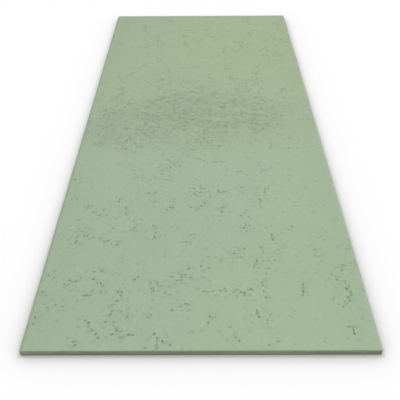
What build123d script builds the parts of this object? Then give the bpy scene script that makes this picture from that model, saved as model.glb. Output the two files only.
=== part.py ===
"""One sheet of oriented strand board, coated on its upper face.

The sheet is pressed from wood strands as one piece and sawn square on four sides, so it is one solid.
Frame: X across the width, Y along the length, Z through the thickness. The origin is the centre of the
bare back face, which the sheet lies on, and the coated face looks up. All sizes are in millimetres.
"""
from build123d import *
import os

# The sheet as it is sold
sheet_length = 3000.0
sheet_width = 1250.0
sheet_thickness = 25.0

# The sawn edges, eased so that they neither splinter nor shed the coat
upright_corner_radius = 3.0
coated_arris_radius = 1.5
back_arris_radius = 0.8


def sawn_blank():
    """The full thickness of the sheet, its plan a rectangle with the four upright corners rubbed round."""
    plan = RectangleRounded(sheet_width, sheet_length, upright_corner_radius)
    return extrude(plan, sheet_thickness)


def ease_arrises(blank):
    """Rounds the rim of each face: more on the coated face than on the back."""
    coated_rim = blank.faces().sort_by(Axis.Z)[-1].edges()
    eased = fillet(coated_rim, coated_arris_radius)
    back_rim = eased.faces().sort_by(Axis.Z)[0].edges()
    return fillet(back_rim, back_arris_radius)


strand_board_panel = ease_arrises(sawn_blank())

os.makedirs("parts", exist_ok=True)
export_step(strand_board_panel, "parts/strand_board_panel.step")

size = strand_board_panel.bounding_box().size
print(f"strand_board_panel {size.X:.1f} x {size.Y:.1f} x {size.Z:.1f} mm, {strand_board_panel.volume:.0f} mm3")
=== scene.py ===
"""Dresses one sheet of oriented strand board: pressed strands, sawn edges, and a sage coat on the upper face.

Every length is in metres, in the sheet's own frame: X across the width, Y along the length, Z up through the
thickness, with the origin in the middle of the bare back.
"""

import math

import bpy
import numpy as np
from mathutils import Matrix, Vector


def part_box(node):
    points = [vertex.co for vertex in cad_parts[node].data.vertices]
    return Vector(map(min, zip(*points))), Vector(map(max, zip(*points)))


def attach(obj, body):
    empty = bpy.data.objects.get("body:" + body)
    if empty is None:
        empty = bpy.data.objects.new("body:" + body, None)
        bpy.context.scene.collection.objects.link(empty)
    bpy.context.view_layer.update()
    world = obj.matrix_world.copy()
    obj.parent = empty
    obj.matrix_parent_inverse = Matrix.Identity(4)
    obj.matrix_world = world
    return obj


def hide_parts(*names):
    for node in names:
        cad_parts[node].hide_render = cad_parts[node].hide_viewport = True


bl_info = {
    "name": "Oriented strand board panel",
    "version": (1, 0, 0),
    "blender": (4, 5, 0),
    "location": "3D View > Sidebar > Strand board",
    "description": "Presses, saws and coats one sheet of oriented strand board on the packed frame",
    "category": "Mesh",
}

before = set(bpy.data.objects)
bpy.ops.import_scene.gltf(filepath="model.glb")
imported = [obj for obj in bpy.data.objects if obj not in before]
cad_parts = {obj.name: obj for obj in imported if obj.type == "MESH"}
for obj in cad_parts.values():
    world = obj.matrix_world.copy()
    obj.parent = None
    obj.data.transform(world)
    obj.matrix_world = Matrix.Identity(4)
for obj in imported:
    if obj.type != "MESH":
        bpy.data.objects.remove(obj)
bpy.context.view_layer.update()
SHEET = "strand_board_panel"
BODY = "root"
HALF_WIDTH, HALF_LENGTH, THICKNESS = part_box(SHEET)[1]
HALF_PLAN = np.array([HALF_WIDTH, HALF_LENGTH])

# Slots of the sheet's three finishes, and which way its four sawn edges face
COATED, SAWN, BARE = 0, 1, 2
OUTWARDS = ((0, -1), (1, 0), (0, 1), (-1, 0))

# Names of the mesh layers that the finishes read
TONE = "strand_tone"
# How dark a point is painted: dusty wood and painted shade in a pit, painted shade in a gap of the sawn edge
SUNK = "sunk"
IS_STRAND = "is_strand"
# A painted shade across each coated strand, from 0 on one side to 1 on the other
STRAND_SHADE = "at_foot"
MARKED = "marked"
GRAIN_MAP = "grain"
FLAT_MAP = "OFBake"

# Rows of marks seen on the photographed coat: from x, y to x, y, and how many pits
MARK_ROWS = (
    (-0.545, -0.880, -0.325, -0.980, 10),
    (-0.495, -0.770, -0.410, -0.800, 4),
    (-0.400, -0.240, -0.385, -0.285, 3),
    (-0.568, -0.205, -0.530, -0.245, 3),
    (-0.155, -0.370, -0.138, -0.428, 4),
    (-0.030, -0.362, 0.030, -0.380, 4),
    (-0.120, -0.710, -0.135, -0.755, 3),
    (-0.340, -0.730, -0.325, -0.795, 4),
    (-0.200, -0.865, -0.190, -0.945, 5),
    (0.300, -0.905, 0.300, -0.960, 4),
    (0.180, -0.885, 0.215, -0.848, 4),
    (0.175, -1.008, 0.125, -1.027, 3),
    (0.235, -1.065, 0.205, -1.110, 4),
    (0.275, -1.055, 0.290, -1.082, 2),
    (0.455, -1.052, 0.475, -1.040, 2),
    (-0.045, -1.112, 0.030, -1.108, 4),
    (-0.400, -1.175, -0.370, -1.215, 4),
    (-0.262, -1.175, -0.238, -1.150, 3),
    (-0.545, -1.192, -0.510, -1.180, 3),
    (-0.450, -1.262, -0.425, -1.243, 3),
    (-0.188, -1.180, -0.183, -1.250, 4),
    (-0.310, -1.225, -0.292, -1.252, 3),
    (0.000, -1.235, 0.215, -1.222, 12),
    (0.240, -1.180, 0.245, -1.260, 4),
    (0.395, -1.205, 0.388, -1.245, 4),
    (0.505, -1.148, 0.535, -1.180, 3),
    (0.560, -1.185, 0.562, -1.285, 7),
    (-0.612, -1.235, -0.585, -1.252, 2),
    (-0.580, -1.288, -0.515, -1.312, 4),
    (-0.600, -1.355, -0.598, -1.385, 2),
    (-0.425, -1.360, -0.405, -1.395, 3),
    (-0.305, -1.288, -0.340, -1.350, 4),
    (-0.198, -1.348, -0.172, -1.360, 2),
    (0.035, -1.345, 0.022, -1.397, 4),
    (0.205, -1.325, 0.215, -1.365, 3),
    (0.260, -1.338, 0.257, -1.360, 2),
    (0.520, -1.395, 0.555, -1.430, 4),
    (-0.270, -1.440, -0.235, -1.428, 3),
    (-0.160, -1.432, -0.152, -1.465, 3),
    (-0.110, -1.470, -0.098, -1.492, 2),
    (0.600, -0.825, 0.598, -0.850, 2),
    (-0.410, 0.500, -0.230, 0.380, 8),
    (-0.220, 0.630, -0.170, 0.540, 6),
    (-0.320, 1.060, -0.270, 1.010, 4),
)

# Places on the coat with hardly a mark: middle x, y and half sizes
QUIET_PLACES = (
    (-0.480, -0.540, 0.140, 0.170),
    (0.110, -1.320, 0.100, 0.080),
    (-0.540, -1.070, 0.090, 0.070),
    (0.440, -0.620, 0.120, 0.120),
    (0.400, -1.450, 0.190, 0.045),
    (0.220, -0.360, 0.120, 0.070),
)

# Chance of a group of pits: even, less among the chosen rows and at the far end, more in the worn patch
EVEN_CHANCE = 0.40
ROWS_LESS = 0.14
ROWS_MIDDLE = -0.98
ROWS_REACH = 0.30
FAR_LESS = 0.10
FAR_START = 0.4
PATCH_MORE = 0.6
PATCH_MIDDLE = (-0.09, 0.10)
PATCH_REACH = (0.45, 0.26)

# A string of pits: the most pits, the least gap between two, and the mean of what chance adds to it
STRING_PITS = 4
LEAST_GAP = 0.009
MORE_GAP = 0.009

# How much chance turns the pits of a chosen row and of a string, in radians
ROW_TURN = 0.3
STRING_TURN = 0.35

# How dark the faintest pit is, in a chosen row and elsewhere, and the power that makes dark ones rare
FAINTEST_IN_ROW = 0.35
FAINTEST = 0.20
DARK_POWER = 1.5

# Where larger pits begin along the sheet, how far on they are commonest, and the powers that set how rare
LARGER_START = -0.3
LARGER_RUN = 1.2
LARGE_POWER_NEAR = 1.2
LARGE_POWER_FAR = 0.6

# What chance draws pits between: step and size in a row, width, blunt corner's angle, its cut, wall's depth
ROW_STEPS = (0.15, 0.85)
ROW_SIZES = (0.4, 1.0)
PIT_WIDTHS = (0.5, 1.0)
BLUNT_ANGLES = (0.35, 0.9)
CORNER_CUTS = (0.05, 0.15)
WALL_DEPTHS = (0.7, 0.95)

# A pit has a rim and a wall of so many points each; the wall's length and width are shares of the rim's
RING = 8
WALL_SHARES = (0.92, 0.80)

# The collar left round a pit, and how far pits keep from the sheet's rim, as shares of a cell
COLLAR = 1 / 25
RIM_KEEP = 1 / 4

# The ground: steps round an upright corner, angles down an arris, how much each ring there is nicked, and
# how deep the gaps in the edge are as shares of the deepest
CORNER_STEPS = 3
ARRIS_ANGLES = (30.0, 60.0, 90.0)
COATED_NICKS = (0.6, 1.0, 0.4)
BACK_NICKS = (0.4, 0.8, 0.5)
VOID_DEPTHS = (0.3, 1.0)

# Waves that shift the ground along X, and along Y: turns a wave along x and y, where it starts, its strength
DRIFT_WAVES = (
    ((0.35, 0.90, 0.0, 1.0), (-0.61, 0.47, 1.3, 0.7)),
    ((0.80, -0.40, 0.7, 1.0), (0.52, 0.66, 2.9, 0.7)),
)

# Waves of the layers in a sawn edge: length, shift from edge to edge, shift a metre of height, strength
LAYER_WAVES = (
    (0.19, 1, 90, 1.0),
    (0.067, 2, 160, 0.5),
)

# The flat map: margin, coated face's width, back's left and width, an edge's strip, the gaps after it and
# before the first, and the margin above and below a row of sawn strands
MAP_MARGIN = 0.004
COATED_WIDE = 0.70
BACK_LEFT = 0.82
BACK_WIDE = 0.175
EDGE_STRIP = 0.022
EDGE_GAP = 0.003
EDGES_GAP = 0.012
SAWN_MARGIN = 0.03

# Strands on a face: lengths and widths as shares of the mean, how even the widths are, and the furthest that
# a strand turns which lies anyhow, in radians
FACE_LENGTHS = (0.55, 1.35)
FACE_WIDTHS = (0.3, 1.9)
WIDTH_EVENNESS = 6.0
ANYHOW = 1.5

# The least share of a strand that is kept, how far an end's corners are out of line, and how far chance
# shifts the fibre from strand to strand
SHORTEST_KEPT = 0.3
END_SKEW = 0.012
GRAIN_SHIFT = 40.0

# Heights and tilts as shares of the recess, how deep a top may lie as a share of the embedding, and how much
# of the width a bevel may take
RISES = (0.1, 0.9)
TILTS = (-0.2, 0.2)
DEEPEST_TOP = 0.8
MOST_BEVEL = 1 / 4

# How the width of a strand swells along it
COATED_SWELL = (0.86, 0.98, 1.0, 0.95, 0.84)
BARE_SWELL = (0.85, 1.0, 0.97, 0.88)
SAWN_SWELL = (0.35, 1.0, 0.3)

# Strands on a face: how far they turn from the length, in radians, and the share that lies anyhow
COATED_LAY = (0.40, 0.35)
BARE_LAY = (0.30, 0.18)

# Strands beside a string of pits: width and added length as shares of a face strand's, and room by a pit
BESIDE_WIDTHS = (0.5, 1.3)
BESIDE_LENGTHS = (0.3, 0.7)
BESIDE_ROOM = 0.05

# Sawn strands: lengths as shares of the mean, how much of its place each fills along, across and outwards,
# and how it tilts, in radians
SAWN_LENGTHS = (0.4, 1.6)
SAWN_FILL = (0.9, 1.06)
SAWN_WIDTHS = (0.7, 1.0)
SAWN_RISES = (0.25, 1.0)
SAWN_TURN = 0.004

# Scales that a pattern's coordinates are drawn out by: the plan alone, and layers and fibres of a sawn edge
PLAN_ONLY = (1.0, 1.0, 0.0)
LAYER_SCALE = (9.0, 9.0, 1100.0)
FIBRE_SCALE = (60.0, 60.0, 2600.0)

# Strands too low to be shells: turn and shift of each layer, and cells a metre along and across
LOW_LAYERS = ((0.18, 0.0), (-0.35, 3.1), (0.9, 7.7))
LOW_STRANDS = {"Length": 9.5, "Width": 52.0}

# Layers of slivers: cells a metre, shift, half length, half width, strength, and how often against the first;
# the shortest is a share of the longest
SLIVER_LAYERS = (
    (40.0, 0.0, 0.0100, 0.0021, 1.0, 1.0),
    (17.0, 5.3, 0.0280, 0.0024, 1.0, 1.6),
    (22.0, 9.1, 0.0170, 0.0085, 0.50, 5.0),
)
SHORTEST_SLIVER = 0.3

# Where along the sheet the coat's looks change from near to far
WARMER = (-0.15, 0.9)
REDDER = (-0.50, 0.05)
BLOTCHIER = (-0.4, 0.6)
FLATTER = (-0.4, 0.2)
FAINTER = (-0.6, 0.4)

# The worn patch: the middle and the half sizes of its two ovals, how faint the upper is, and its soft edge
PATCH = ((-0.05, 0.01), (0.66, 0.38))
UPPER_PATCH = ((-0.25, 0.42), (0.26, 0.22))
UPPER_STRENGTH = 0.4
PATCH_UNEVEN = 1.6
PATCH_EDGE = (1.3, 0.2)

# Noises in the coat, in repeats a metre, and the range of each that shows
MOTTLE = 46.0
MOTTLE_SOFT = (0.46, 0.68)
MOTTLE_SHARP = (0.56, 0.70)
MOTTLE_SCALE = (0.62, 0.66, 1.0)
SPECK = 42.0
SPECK_RANGE = (0.50, 0.70)
WAVY = 15.0
WAVY_SCALE = (0.30, 1.0, 1.0)
WAVY_TURN = -0.05
RIPPLE_RANGE = (0.09, 0.0)
SWIRL_RANGE = (0.42, 0.60)
PEEL = 420.0

# Where the coat has a painted shade along the left rim and a painted highlight along the right rim, as
# distances from a rim, and where it darkens towards both sides, as distances from the middle
LEFT_RIM_SHADE_STRIP = (0.013, 0.007)
SIDE_DARKENING_SPAN = (0.40, 0.60)
RIGHT_RIM_HIGHLIGHT_STRIP = (0.012, 0.001)

# How far the cloud and the place across sway the coat from cool to warm
WARM_BY_CLOUD = 2.0
WARM_BY_X = 0.25

# How much each thing lightens the coat, and how much more it does so in red or in blue
LEVEL_BY_CLOUD = 0.10
LEVEL_BY_X = 0.042
LEVEL_BY_Y = -0.012
LEVEL_BY_STRAND = 0.016
RED_FAR = 0.028
RED_IN_PATCH = 0.012
BLUE_BY_X = -0.025

# The range of a pit's darkness over which its dusty wood and painted shade come in, and how far the coat's
# fibre is turned
SUNK_RANGE = (0.05, 0.95)
FIBRE_TURN = 1.4

# The sawn edge: how uneven the coat's run is, and where it starts above the back and is full under the coat
RUN_UNEVEN = 0.018
RUN_START = 0.004
RUN_FULL = 0.002

# The sawn edge: how much layers, fibres, strands and the cloud lighten it, and how much painted shade darkens
# the ground between the strands
EDGE_BY_LAYER = 0.5
EDGE_BY_FIBRE = 0.35
EDGE_BY_STRAND = 0.36
EDGE_TONE_MIDDLE = 0.35
EDGE_BY_CLOUD = 0.35
EDGE_GROUND_SHADE = 0.25

# The back: how much fibre and cloud shift a strand's shade, and where each colour lies in the shades
BACK_BY_FIBRE = 0.55
BACK_BY_CLOUD = 0.25
BACK_SHADES = {"umber": 0.02, "russet": 0.16, "honey": 0.45, "straw": 0.95}

# Relief in metres, what each pattern adds to it, and the range of a pattern with the roughness that it gives
COAT_RELIEF = 0.0002
RAW_RELIEF = 0.0003
RELIEF_BY_FIBRE = 0.20
RELIEF_BY_STRAND = 0.75
RELIEF_BY_PEEL = 0.08
EDGE_RELIEF_BY_FIBRE = 0.6
COAT_ROUGHNESS = (0.2, 0.9, 0.62, 0.78)
EDGE_ROUGHNESS = (0.3, 0.7, 0.7, 0.85)
BACK_ROUGHNESS = (0.3, 0.7, 0.45, 0.7)


def number_setting(title, about, default, **facts):
    """A number that a user may change."""
    return bpy.props.FloatProperty(name=title, description=about, default=default, **facts)


def length_setting(title, about, default):
    """A size, shown in the scene's length unit."""
    return number_setting(title, about, default, min=0.0, precision=5, unit="LENGTH", subtype="DISTANCE")


def share_setting(title, about, default):
    """A plain number between nothing and one."""
    return number_setting(title, about, default, min=0.0, max=1.0, subtype="FACTOR")


def count_setting(title, about, default):
    """How many of a thing there are, or the seed that it is drawn with."""
    return bpy.props.IntProperty(name=title, description=about, default=default, min=0)


def colour_setting(title, about, default):
    """A linear colour."""
    return bpy.props.FloatVectorProperty(
        name=title, description=about, default=default, size=3, min=0.0, max=1.0, subtype="COLOR"
    )


class GroundSettings(bpy.types.PropertyGroup):
    """The pressed ground that the outermost strands lie in, and its sawn rim."""

    corner_radius: length_setting("Corner radius", "Radius of the four upright corners", 0.003)
    coated_arris: length_setting("Coated arris", "Radius of the rim of the coated face", 0.0015)
    back_arris: length_setting("Back arris", "Radius of the rim of the back", 0.0008)
    face_recess: length_setting("Face recess", "How far the ground lies under the proudest strand", 0.00035)
    edge_recess: length_setting("Edge recess", "The same on the sawn edges", 0.0003)
    cell: length_setting("Cell", "Side of the cells that the ground is divided into", 0.015)
    drift: length_setting("Drift", "How far the cells wander from a straight grid", 0.005)
    drift_wave: length_setting("Drift wave", "Length of the wave that the cells wander in", 0.11)
    edge_rows: count_setting("Edge rows", "Rows of cells through the thickness", 16)
    edge_void_share: share_setting("Edge voids", "Share of the edge's points that a gap lies at", 0.05)
    edge_void_depth: length_setting("Edge void depth", "Depth of the deepest gap in the edge", 0.0025)
    nick: length_setting("Nick", "Deepest nick along the sawn arrises", 0.0003)
    seed: count_setting("Seed", "Seed of the ground's chance", 11)


class PitSettings(bpy.types.PropertyGroup):
    """Open pits between the strands, which the coat doesn't bridge."""

    clusters: count_setting("Clusters", "Loose groups tried outside the chosen rows", 600)
    strings: count_setting("Strings", "Most strings of pits in a group", 3)
    spread: length_setting("Spread", "How far a group spreads", 0.05)
    shortest: length_setting("Shortest", "Length of the shortest pit", 0.005)
    longest: length_setting("Longest", "Length of the longest pit", 0.0148)
    narrowest: length_setting("Narrowest", "Width of the narrowest pit", 0.0044)
    widest: length_setting("Widest", "Width of the widest pit", 0.0124)
    shallowest: length_setting("Shallowest", "Depth of the shallowest pit", 0.0008)
    deepest: length_setting("Deepest", "Depth of the deepest pit", 0.0022)
    taper: share_setting("Taper", "How much one end is narrower than the other", 0.3)
    kites: share_setting("Kites", "Share of the pits that are pointed, where the others are blunt", 0.4)
    uneven: share_setting("Uneven", "How unevenly the corners of a pointed pit are spaced", 0.30)
    skew: share_setting("Skew", "The same for a blunt pit", 0.12)
    stray: length_setting("Stray", "How far a pit strays from its row", 0.0045)
    map_step: length_setting("Map step", "Step of the grid on which the marks are counted", 0.01)
    map_reach: length_setting("Map reach", "How far round a pit the coat is dusty", 0.02)
    open_share: share_setting("Open share", "Share of a pit's half width that no strand reaches into", 0.6)
    rim_darkness: share_setting("Soiled", "How much of the pit's darkness its rim shows", 0.35)
    seed: count_setting("Seed", "Seed of the pits' chance", 23)


class StrandSettings(bpy.types.PropertyGroup):
    """Wood strands that show on the faces and on the sawn edges."""

    face_length: length_setting("Face length", "Mean length of a strand on a face", 0.105)
    face_width: length_setting("Face width", "Mean width of a strand on a face", 0.018)
    bevel: length_setting("Bevel", "How far a strand's side slopes", 0.0009)
    embed: length_setting("Embed", "How deep a strand's underside lies in the ground", 0.0003)
    coated_tries: count_setting("Coated tries", "Strands tried on the coated face", 8600)
    bare_count: count_setting("Bare strands", "Strands on the bare back", 6400)
    edge_pitch: length_setting("Edge pitch", "Thickness of a pressed strand in the sawn edge", 0.00086)
    edge_short: length_setting("Short section", "Mean length of a strand sawn across", 0.021)
    edge_long: length_setting("Long section", "Mean length of a strand sawn along", 0.08)
    core_share: share_setting("Core share", "Share of the thickness whose strands lie across", 0.36)
    wave: length_setting("Wave", "How far the layers wander up and down in the edge", 0.00035)
    seed: count_setting("Seed", "Seed of the strands' chance", 37)


class WearSettings(bpy.types.PropertyGroup):
    """How much each kind of mark or painted shade darkens the coat, how much the painted highlight pales it,
    and how often a mark comes.
    """

    crevice_near: share_setting("Crevices, near", "How dark the unfilled slivers are at the near end", 0.48)
    crevice_far: share_setting("Crevices, far", "The same at the far end", 0.34)
    # How dark the pits are painted, dusty wood and painted shade together
    pit_dark_near: share_setting("Pits, near", "How dark the pits are at the near end", 0.65)
    pit_dark_far: share_setting("Pits, far", "The same at the far end", 0.52)
    often: share_setting("Often", "Share of the cells of a clean coat that have a sliver", 0.06)
    often_worn: share_setting("Often, worn", "How many more have one in the worn patch", 0.11)
    often_marked: share_setting("Often, marked", "How many more have one round the pits", 0.18)
    aslant_near: share_setting("Aslant, near", "How far slivers turn at the near end: 1 is any way", 1.0)
    aslant_far: share_setting("Aslant, far", "The same beyond the worn patch", 0.4)
    haze: share_setting("Haze", "Even darkening of the worn patch", 0.095)
    smudge: share_setting("Smudge", "Soft spots in the worn patch", 0.16)
    blotch_near: share_setting("Blotches, near", "Faint blotches at the near end", 0.03)
    blotch_far: share_setting("Blotches, far", "Faint blotches at the far end", 0.15)
    blotch_worn: share_setting("Blotches, worn", "How much stronger they are in the worn patch", 0.10)
    speck: share_setting("Specks", "Fine spots round the pits", 0.22)
    ripple: share_setting("Ripple", "Thin wavy lines in the worn patch", 0.11)
    swirl: share_setting("Swirl", "Broad wavy bands in the worn patch", 0.12)
    # Painted shade across each coated strand, darker towards one side
    strand_side_shade: share_setting("Foot", "The line where a strand's side meets the ground", 0.06)
    # Painted shade along the coat's left rim
    left_rim_shade: share_setting("Rubbed", "The strip along the left rim", 0.25)
    # Darkens the coat towards both long sides
    side_darkening: share_setting("Handled", "Both sides of the sheet", 0.06)
    # Painted highlight: the coat's right rim is paled
    right_rim_highlight: share_setting("Chalky", "How far the right rim is bleached", 0.32)


class FinishSettings(bpy.types.PropertyGroup):
    """Colours of the coat, the sawn edge and the bare back."""

    coat_near: colour_setting("Coat, cool", "Coat at the near end, a little bluer", (0.344, 0.450, 0.301))
    coat_far: colour_setting("Coat, warm", "Coat at the far end, a little yellower", (0.331, 0.433, 0.262))
    # Dusty wood that also stands in for the shade in a pit; the coat's marks and painted shades blend towards
    # it
    pit: colour_setting("Pit", "Dusty wood at the bottom of a pit", (0.152, 0.222, 0.121))
    # The colour of the painted highlight along the coat's right rim
    rim_highlight_colour: colour_setting("Chalk", "Coat rubbed pale along the right rim", (0.600, 0.600, 0.540))
    edge_green: colour_setting("Edge, green", "Sawn wood under the run of the coat", (0.255, 0.330, 0.210))
    edge_brown: colour_setting("Edge, brown", "Sawn wood that the coat hardly reached", (0.208, 0.208, 0.160))
    # Painted shade in the gaps between the sawn layers
    edge_gap_shade: colour_setting("Edge, dark", "Gaps between the sawn layers", (0.046, 0.044, 0.032))
    straw: colour_setting("Straw", "The palest bare strand", (0.640, 0.455, 0.255))
    honey: colour_setting("Honey", "The commonest bare strand", (0.500, 0.320, 0.150))
    russet: colour_setting("Russet", "A heartwood strand", (0.330, 0.180, 0.080))
    umber: colour_setting("Umber", "Bark and deep gaps", (0.130, 0.075, 0.038))


class StageSettings(bpy.types.PropertyGroup):
    """Camera, light and floor."""

    lens: number_setting("Lens", "Focal length", 50.0, unit="CAMERA")
    sensor: number_setting("Sensor", "Sensor width", 36.0, unit="CAMERA")
    place: bpy.props.FloatVectorProperty(
        name="Place", description="Where the camera stands", default=(0.0095, -2.6360, 1.6399), subtype="XYZ"
    )
    pitch: number_setting("Pitch", "Turn below the horizon", math.radians(39.676), unit="ROTATION")
    yaw: number_setting("Yaw", "Turn to the left of the sheet's length", math.radians(0.393), unit="ROTATION")
    roll: number_setting("Roll", "Turn about the line of sight", math.radians(-0.466), unit="ROTATION")
    overhead: number_setting("Overhead", "Strength of the white sky straight above", 0.189)
    horizon: number_setting("Horizon", "Strength of the sky at the horizon, so that a level face gets 1", 1.8)
    ring_top: share_setting("Ring top", "Sine of the height that the horizon's strength reaches up to", 0.5)
    ring_fade: share_setting("Ring fade", "Sine of the height that the overhead strength begins at", 0.9)
    floor_size: length_setting("Floor", "Side of the square floor", 40.0)
    floor_gap: length_setting("Floor gap", "How far the floor lies under the sheet", 0.0001)
    floor_white: share_setting("Floor white", "How pale the floor looks", 1.0)
    floor_bounce: share_setting("Floor bounce", "How pale the floor is to the light it sends back", 0.25)
    # Painted shadow: the floor is painted darker right beside the sheet, over its rendered shadow
    painted_foot_shadow: share_setting("Foot shade", "How much darker the floor is right beside the sheet", 0.32)
    painted_shadow_reach: length_setting("Foot reach", "How far out from the sheet the floor is darker", 0.016)


def settings(name):
    """The scene's settings group of that name."""
    return getattr(bpy.context.scene, name)


def pick(arrays, which):
    """The chosen members of each array."""
    return [array[which] for array in arrays]


def part_way(low, high, share):
    """The value that lies that share of the way from low to high."""
    return low + (high - low) * share


def ways(heading):
    """Unit vectors along each heading, and across it to the left."""
    along = np.stack([np.cos(heading), np.sin(heading)], 1)
    return along, np.stack([-along[:, 1], along[:, 0]], 1)


# Meshes from whole arrays


def make_piece(name, points, faces, flat_map, materials, values, slots=None, smooth=None, grain_map=None):
    """A mesh object of the given points and faces, on the sheet's body.

    faces is a list of whole arrays, each of faces with the same number of corners. slots, smooth and the two
    maps follow the same order, one row for a face or for a corner. values has one number for each point.
    """
    mesh = bpy.data.meshes.new(name)
    corner_counts = np.concatenate([np.full(len(block), block.shape[1]) for block in faces])
    corners = np.concatenate([block.ravel() for block in faces])
    starts = np.cumsum(corner_counts) - corner_counts
    mesh.vertices.add(len(points))
    mesh.vertices.foreach_set("co", points.astype(np.float32).ravel())
    mesh.loops.add(len(corners))
    mesh.loops.foreach_set("vertex_index", corners.astype(np.int32))
    mesh.polygons.add(len(corner_counts))
    mesh.polygons.foreach_set("loop_start", starts.astype(np.int32))
    if slots is not None:
        mesh.polygons.foreach_set("material_index", slots.astype(np.int32))
    if smooth is None:
        smooth = np.zeros(len(corner_counts), bool)
    mesh.polygons.foreach_set("use_smooth", smooth)
    for map_name, places in ((FLAT_MAP, flat_map), (GRAIN_MAP, grain_map)):
        if places is not None:
            layer = mesh.uv_layers.new(name=map_name, do_init=False)
            layer.uv.foreach_set("vector", places.astype(np.float32).ravel())
    for layer_name, numbers in values.items():
        layer = mesh.attributes.new(layer_name, "FLOAT", "POINT")
        layer.data.foreach_set("value", numbers.astype(np.float32))
    for material in materials:
        mesh.materials.append(material)
    mesh.update(calc_edges=True)
    mesh.validate(verbose=False)
    piece = bpy.data.objects.new(name, mesh)
    bpy.context.scene.collection.objects.link(piece)
    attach(piece, BODY)
    return piece


# The ground: a grid of cells, with pits let into some of them


def core_sizes():
    """Half the plan of the sheet less its round corners, which the grid's straight lines cover."""
    return HALF_PLAN - settings("osb_ground").corner_radius


def cell_counts():
    """How many cells there are across and along."""
    return np.maximum(2, np.rint(2 * core_sizes() / settings("osb_ground").cell)).astype(int)


def grid_lines(core, cells):
    """The lines of the ground's grid along one axis: where each starts, and its share of the corner.

    Between -core and core the lines are evenly spaced, with a share of 0. Beyond them the share grows evenly
    to 1, or falls to -1, and is carried round the corner's arc by around_corner.
    """
    share = np.arange(1, CORNER_STEPS + 1) / CORNER_STEPS
    straight = np.linspace(-core, core, cells + 1)
    start = np.concatenate([np.full(CORNER_STEPS, -core), straight, np.full(CORNER_STEPS, core)])
    return start, np.concatenate([-share[::-1], np.zeros(cells + 1), share])


def around_corner(share_x, share_y):
    """Carries a square onto a disc: each share is scaled by the root of 1 less half the other's square."""
    return share_x * np.sqrt(1 - share_y**2 / 2), share_y * np.sqrt(1 - share_x**2 / 2)


def drifted(x, y):
    """Where the ground's points wander: two crossed sine waves along each axis, fading out near the rim."""
    ground = settings("osb_ground")
    core = core_sizes()
    turn = 2 * math.pi / ground.drift_wave
    shifts = []
    for waves in DRIFT_WAVES:
        shifts.append(sum(strong * np.sin(turn * (a * x + b * y) + start) for a, b, start, strong in waves))
    most = sum(strong for *_, strong in DRIFT_WAVES[0])
    room = np.minimum(core[0] - np.abs(x), core[1] - np.abs(y)) / ground.drift_wave
    fade = np.clip(room, 0.0, 1.0) ** 2 * ground.drift / most
    return x + fade * shifts[0], y + fade * shifts[1]


def mark_density(x, y):
    """How likely a group of pits is at a place, from 0 to 1, as the photographed coat shows it.

    It is even, but a bell curve lower where most of the chosen rows are, evenly lower towards the far end,
    and a bell curve higher in a soft oval patch across the middle. The quiet places have none.
    """
    rows = ROWS_LESS * np.exp(-(((y - ROWS_MIDDLE) / ROWS_REACH) ** 2))
    far = FAR_LESS * np.clip((y - FAR_START) / (HALF_LENGTH - FAR_START), 0.0, 1.0)
    over_x = (x - PATCH_MIDDLE[0]) / PATCH_REACH[0]
    over_y = (y - PATCH_MIDDLE[1]) / PATCH_REACH[1]
    patch = PATCH_MORE * np.exp(-(over_x**2) - over_y**2)
    quiet = np.array(QUIET_PLACES)
    away = ((x[:, None] - quiet[:, 0]) / quiet[:, 2]) ** 2 + ((y[:, None] - quiet[:, 1]) / quiet[:, 3]) ** 2
    return np.clip(EVEN_CHANCE - rows - far + patch, 0.0, 1.0) * (away > 1.0).all(1)


def pit_rows(rng):
    """Pits along the chosen rows, a little astray and turned: centre, heading, size, row, its heading."""
    rows = np.array(MARK_ROWS)
    counts = rows[:, 4].astype(int)
    row = np.repeat(np.arange(len(rows)), counts)
    place = np.arange(len(row)) - np.repeat(np.cumsum(counts) - counts, counts)
    along = (place + rng.uniform(*ROW_STEPS, len(row))) / counts[row]
    span = rows[row, 2:4] - rows[row, 0:2]
    centre = rows[row, 0:2] + along[:, None] * span
    centre = centre + rng.normal(0.0, settings("osb_pits").stray, centre.shape)
    line = np.arctan2(span[:, 1], span[:, 0])
    return centre, line + rng.normal(0.0, ROW_TURN, len(row)), rng.uniform(*ROW_SIZES, len(row)), row, line


def anywhere(rng, count):
    """Places anywhere on the sheet's plan."""
    x = rng.uniform(-HALF_WIDTH, HALF_WIDTH, count)
    return np.stack([x, rng.uniform(-HALF_LENGTH, HALF_LENGTH, count)], 1)


def pit_scatter(rng):
    """Pits in loose groups of short strings, each along a strand's side, kept by the density of the marks.

    The gaps along a string are a least gap and a chance one more, and the result is as pit_rows gives it.
    """
    pits = settings("osb_pits")
    middle = anywhere(rng, pits.clusters)
    cluster = np.repeat(np.arange(pits.clusters), rng.integers(1, pits.strings + 1, pits.clusters))
    head = middle[cluster] + rng.normal(0.0, pits.spread, (len(cluster), 2))
    head = head[rng.uniform(0.0, 1.0, len(cluster)) < mark_density(head[:, 0], head[:, 1])]
    heading = rng.uniform(0.0, math.pi, len(head))
    length = rng.integers(1, STRING_PITS + 1, len(head))
    string = np.repeat(np.arange(len(head)), length)
    run = np.cumsum(LEAST_GAP + rng.exponential(MORE_GAP, len(string)))
    step = run - run[np.cumsum(length) - length][string]
    along = ways(heading[string])[0] * step[:, None]
    centre = head[string] + along + rng.normal(0.0, pits.stray, (len(string), 2))
    turned = heading[string] + rng.normal(0.0, STRING_TURN, len(string))
    larger = np.clip((centre[:, 1] - LARGER_START) / LARGER_RUN, 0.0, 1.0)
    size = rng.uniform(0.0, 1.0, len(string)) ** part_way(LARGE_POWER_NEAR, LARGE_POWER_FAR, larger)
    return centre, turned, size, len(MARK_ROWS) + string, heading[string]


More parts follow.
